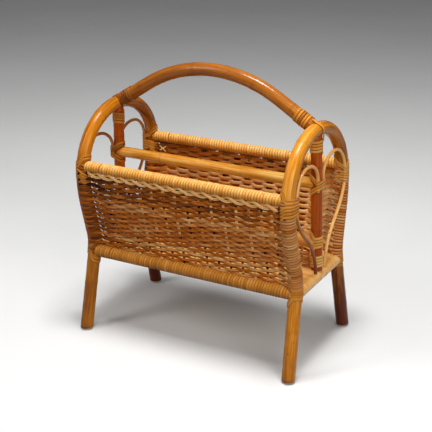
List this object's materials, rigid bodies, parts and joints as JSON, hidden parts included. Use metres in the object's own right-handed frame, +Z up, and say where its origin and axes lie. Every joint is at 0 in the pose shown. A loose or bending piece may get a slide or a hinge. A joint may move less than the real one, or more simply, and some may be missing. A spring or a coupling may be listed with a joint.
{
  "type": "magazine basket",
  "caption": "Free-standing magazine basket of lashed rattan poles, with a bowed carrying handle, woven side panels and open compartments over a base board.",
  "frame": {"origin": "on the floor, under the middle of the basket", "axes": "+Z up, +X along the basket from its left end to its right end, -Y towards the front panel"},
  "size_m": [0.4558, 0.2678, 0.5161],
  "materials": {
    "pole": "smooth rattan pole under amber varnish",
    "reed": "thin round reed under amber varnish",
    "board": "smooth varnished board",
    "rail_wrap": "close wrap of split cane, honey gold",
    "weave": "plain weave of thin reed, varnished brown",
    "divider_weave": "plain weave of thin reed, light",
    "plait": "straw-coloured plait",
    "lashing": "flat split cane, glossy",
    "glide": "plain pale plastic"
  },
  "bodies": {
    "root": {"end_arch_left": "pole", "end_arch_right": "pole", "handle": "pole", "base_board": "board", "post_left": "pole", "post_right": "pole", "centre_rail_upper": "pole", "centre_rail_lower": "pole", "top_rail_front": "pole", "top_rail_back": "pole", "top_rail_wrap_front": "rail_wrap", "top_rail_wrap_back": "rail_wrap", "bottom_rail_front": "pole", "bottom_rail_back": "pole", "bottom_rail_wrap_front": "rail_wrap", "bottom_rail_wrap_back": "rail_wrap", "side_panel_front": "weave", "side_panel_back": "weave", "plait_front": "plait", "plait_back": "plait", "divider_panel": "divider_weave", "scroll_reed_front_left": "reed", "scroll_reed_front_right": "reed", "scroll_reed_back_left": "reed", "scroll_reed_back_right": "reed", "handle_lashing_left": "lashing", "handle_lashing_right": "lashing", "post_top_lashing_left": "lashing", "post_top_lashing_right": "lashing", "post_foot_lashing_left": "lashing", "post_foot_lashing_right": "lashing", "upper_centre_lashing_left": "lashing", "upper_centre_lashing_right": "lashing", "lower_centre_lashing_left": "lashing", "lower_centre_lashing_right": "lashing", "top_rail_lashing_front_left": "lashing", "top_rail_lashing_front_right": "lashing", "top_rail_lashing_back_left": "lashing", "top_rail_lashing_back_right": "lashing", "bottom_rail_lashing_front_left": "lashing", "bottom_rail_lashing_front_right": "lashing", "bottom_rail_lashing_back_left": "lashing", "bottom_rail_lashing_back_right": "lashing", "foot_glide_front_left": "glide", "foot_glide_front_right": "glide", "foot_glide_back_left": "glide", "foot_glide_back_right": "glide"}
  },
  "joints": []
}
